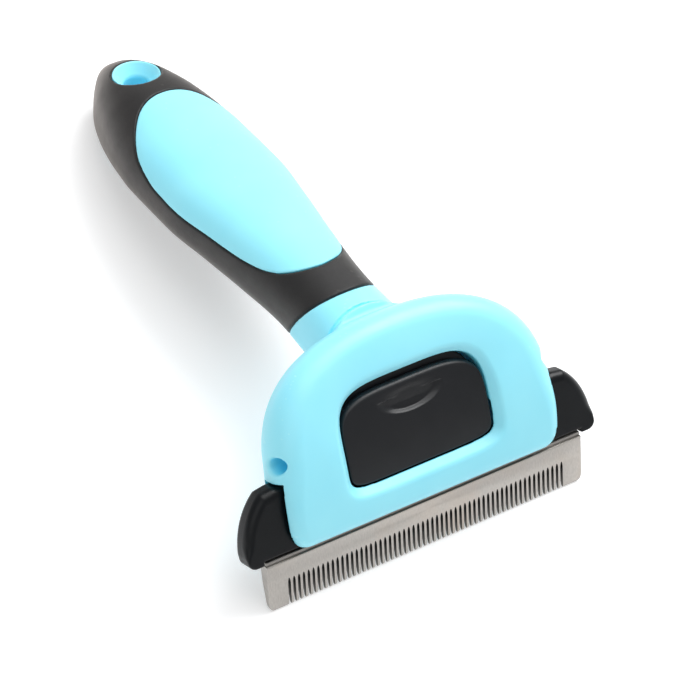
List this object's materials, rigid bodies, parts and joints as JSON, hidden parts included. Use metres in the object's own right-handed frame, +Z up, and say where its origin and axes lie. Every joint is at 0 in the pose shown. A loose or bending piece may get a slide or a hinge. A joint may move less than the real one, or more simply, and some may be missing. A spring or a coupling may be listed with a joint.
{
  "type": "pet deshedding tool",
  "caption": "Soft-grip pet deshedding tool: bent D-shaped head, removable steel comb cartridge held by a catch, rocker release button in the head's window.",
  "frame": {"origin": "middle of the bottom of the part's box, on the table the tool stands on", "axes": "+X along the comb, +Y from the comb's teeth towards the hanging end of the handle, +Z up from the table"},
  "size_m": [0.1104, 0.1722, 0.0539],
  "materials": {
    "cyan_plastic": "light cyan ABS, smooth satin",
    "black_rubber": "soft-touch black elastomer, fine matte texture",
    "black_plastic": "black ABS, satin",
    "comb_steel": "stainless, brushed along the teeth",
    "bright_steel": "zinc-plated steel",
    "spring_steel": "rolled spring steel"
  },
  "bodies": {
    "tool_body": {"head_frame": "cyan_plastic", "handle_chassis": "cyan_plastic", "grip_sleeve": "black_rubber", "top_pad": "cyan_plastic", "hang_eyelet": "cyan_plastic", "frame_screw_1": "bright_steel", "frame_screw_2": "bright_steel", "frame_screw_3": "bright_steel", "frame_screw_4": "bright_steel", "pivot_pin_left": "bright_steel", "pivot_pin_right": "bright_steel", "catch_spring": "spring_steel", "catch_screw": "bright_steel"},
    "button": {"release_button": "black_plastic"},
    "blade_cartridge": {"carrier_front": "black_plastic", "carrier_back": "black_plastic", "comb_blade": "comb_steel", "blade_screw_1": "bright_steel", "blade_screw_2": "bright_steel", "blade_screw_3": "bright_steel", "blade_screw_4": "bright_steel"}
  },
  "joints": [
    {"name": "button_rock", "type": "hinge", "parent": "tool_body", "child": "button", "pos_m": [0, -0.06505, 0.03399], "axis": [-1, 0, 0], "range_deg": [0, 6], "deforming": ["catch_spring"]},
    {"name": "cartridge_slide", "type": "slide", "parent": "tool_body", "child": "blade_cartridge", "axis": [0, -0.5299, -0.848], "range_m": [0, 0.03], "deforming": ["catch_spring"]}
  ]
}
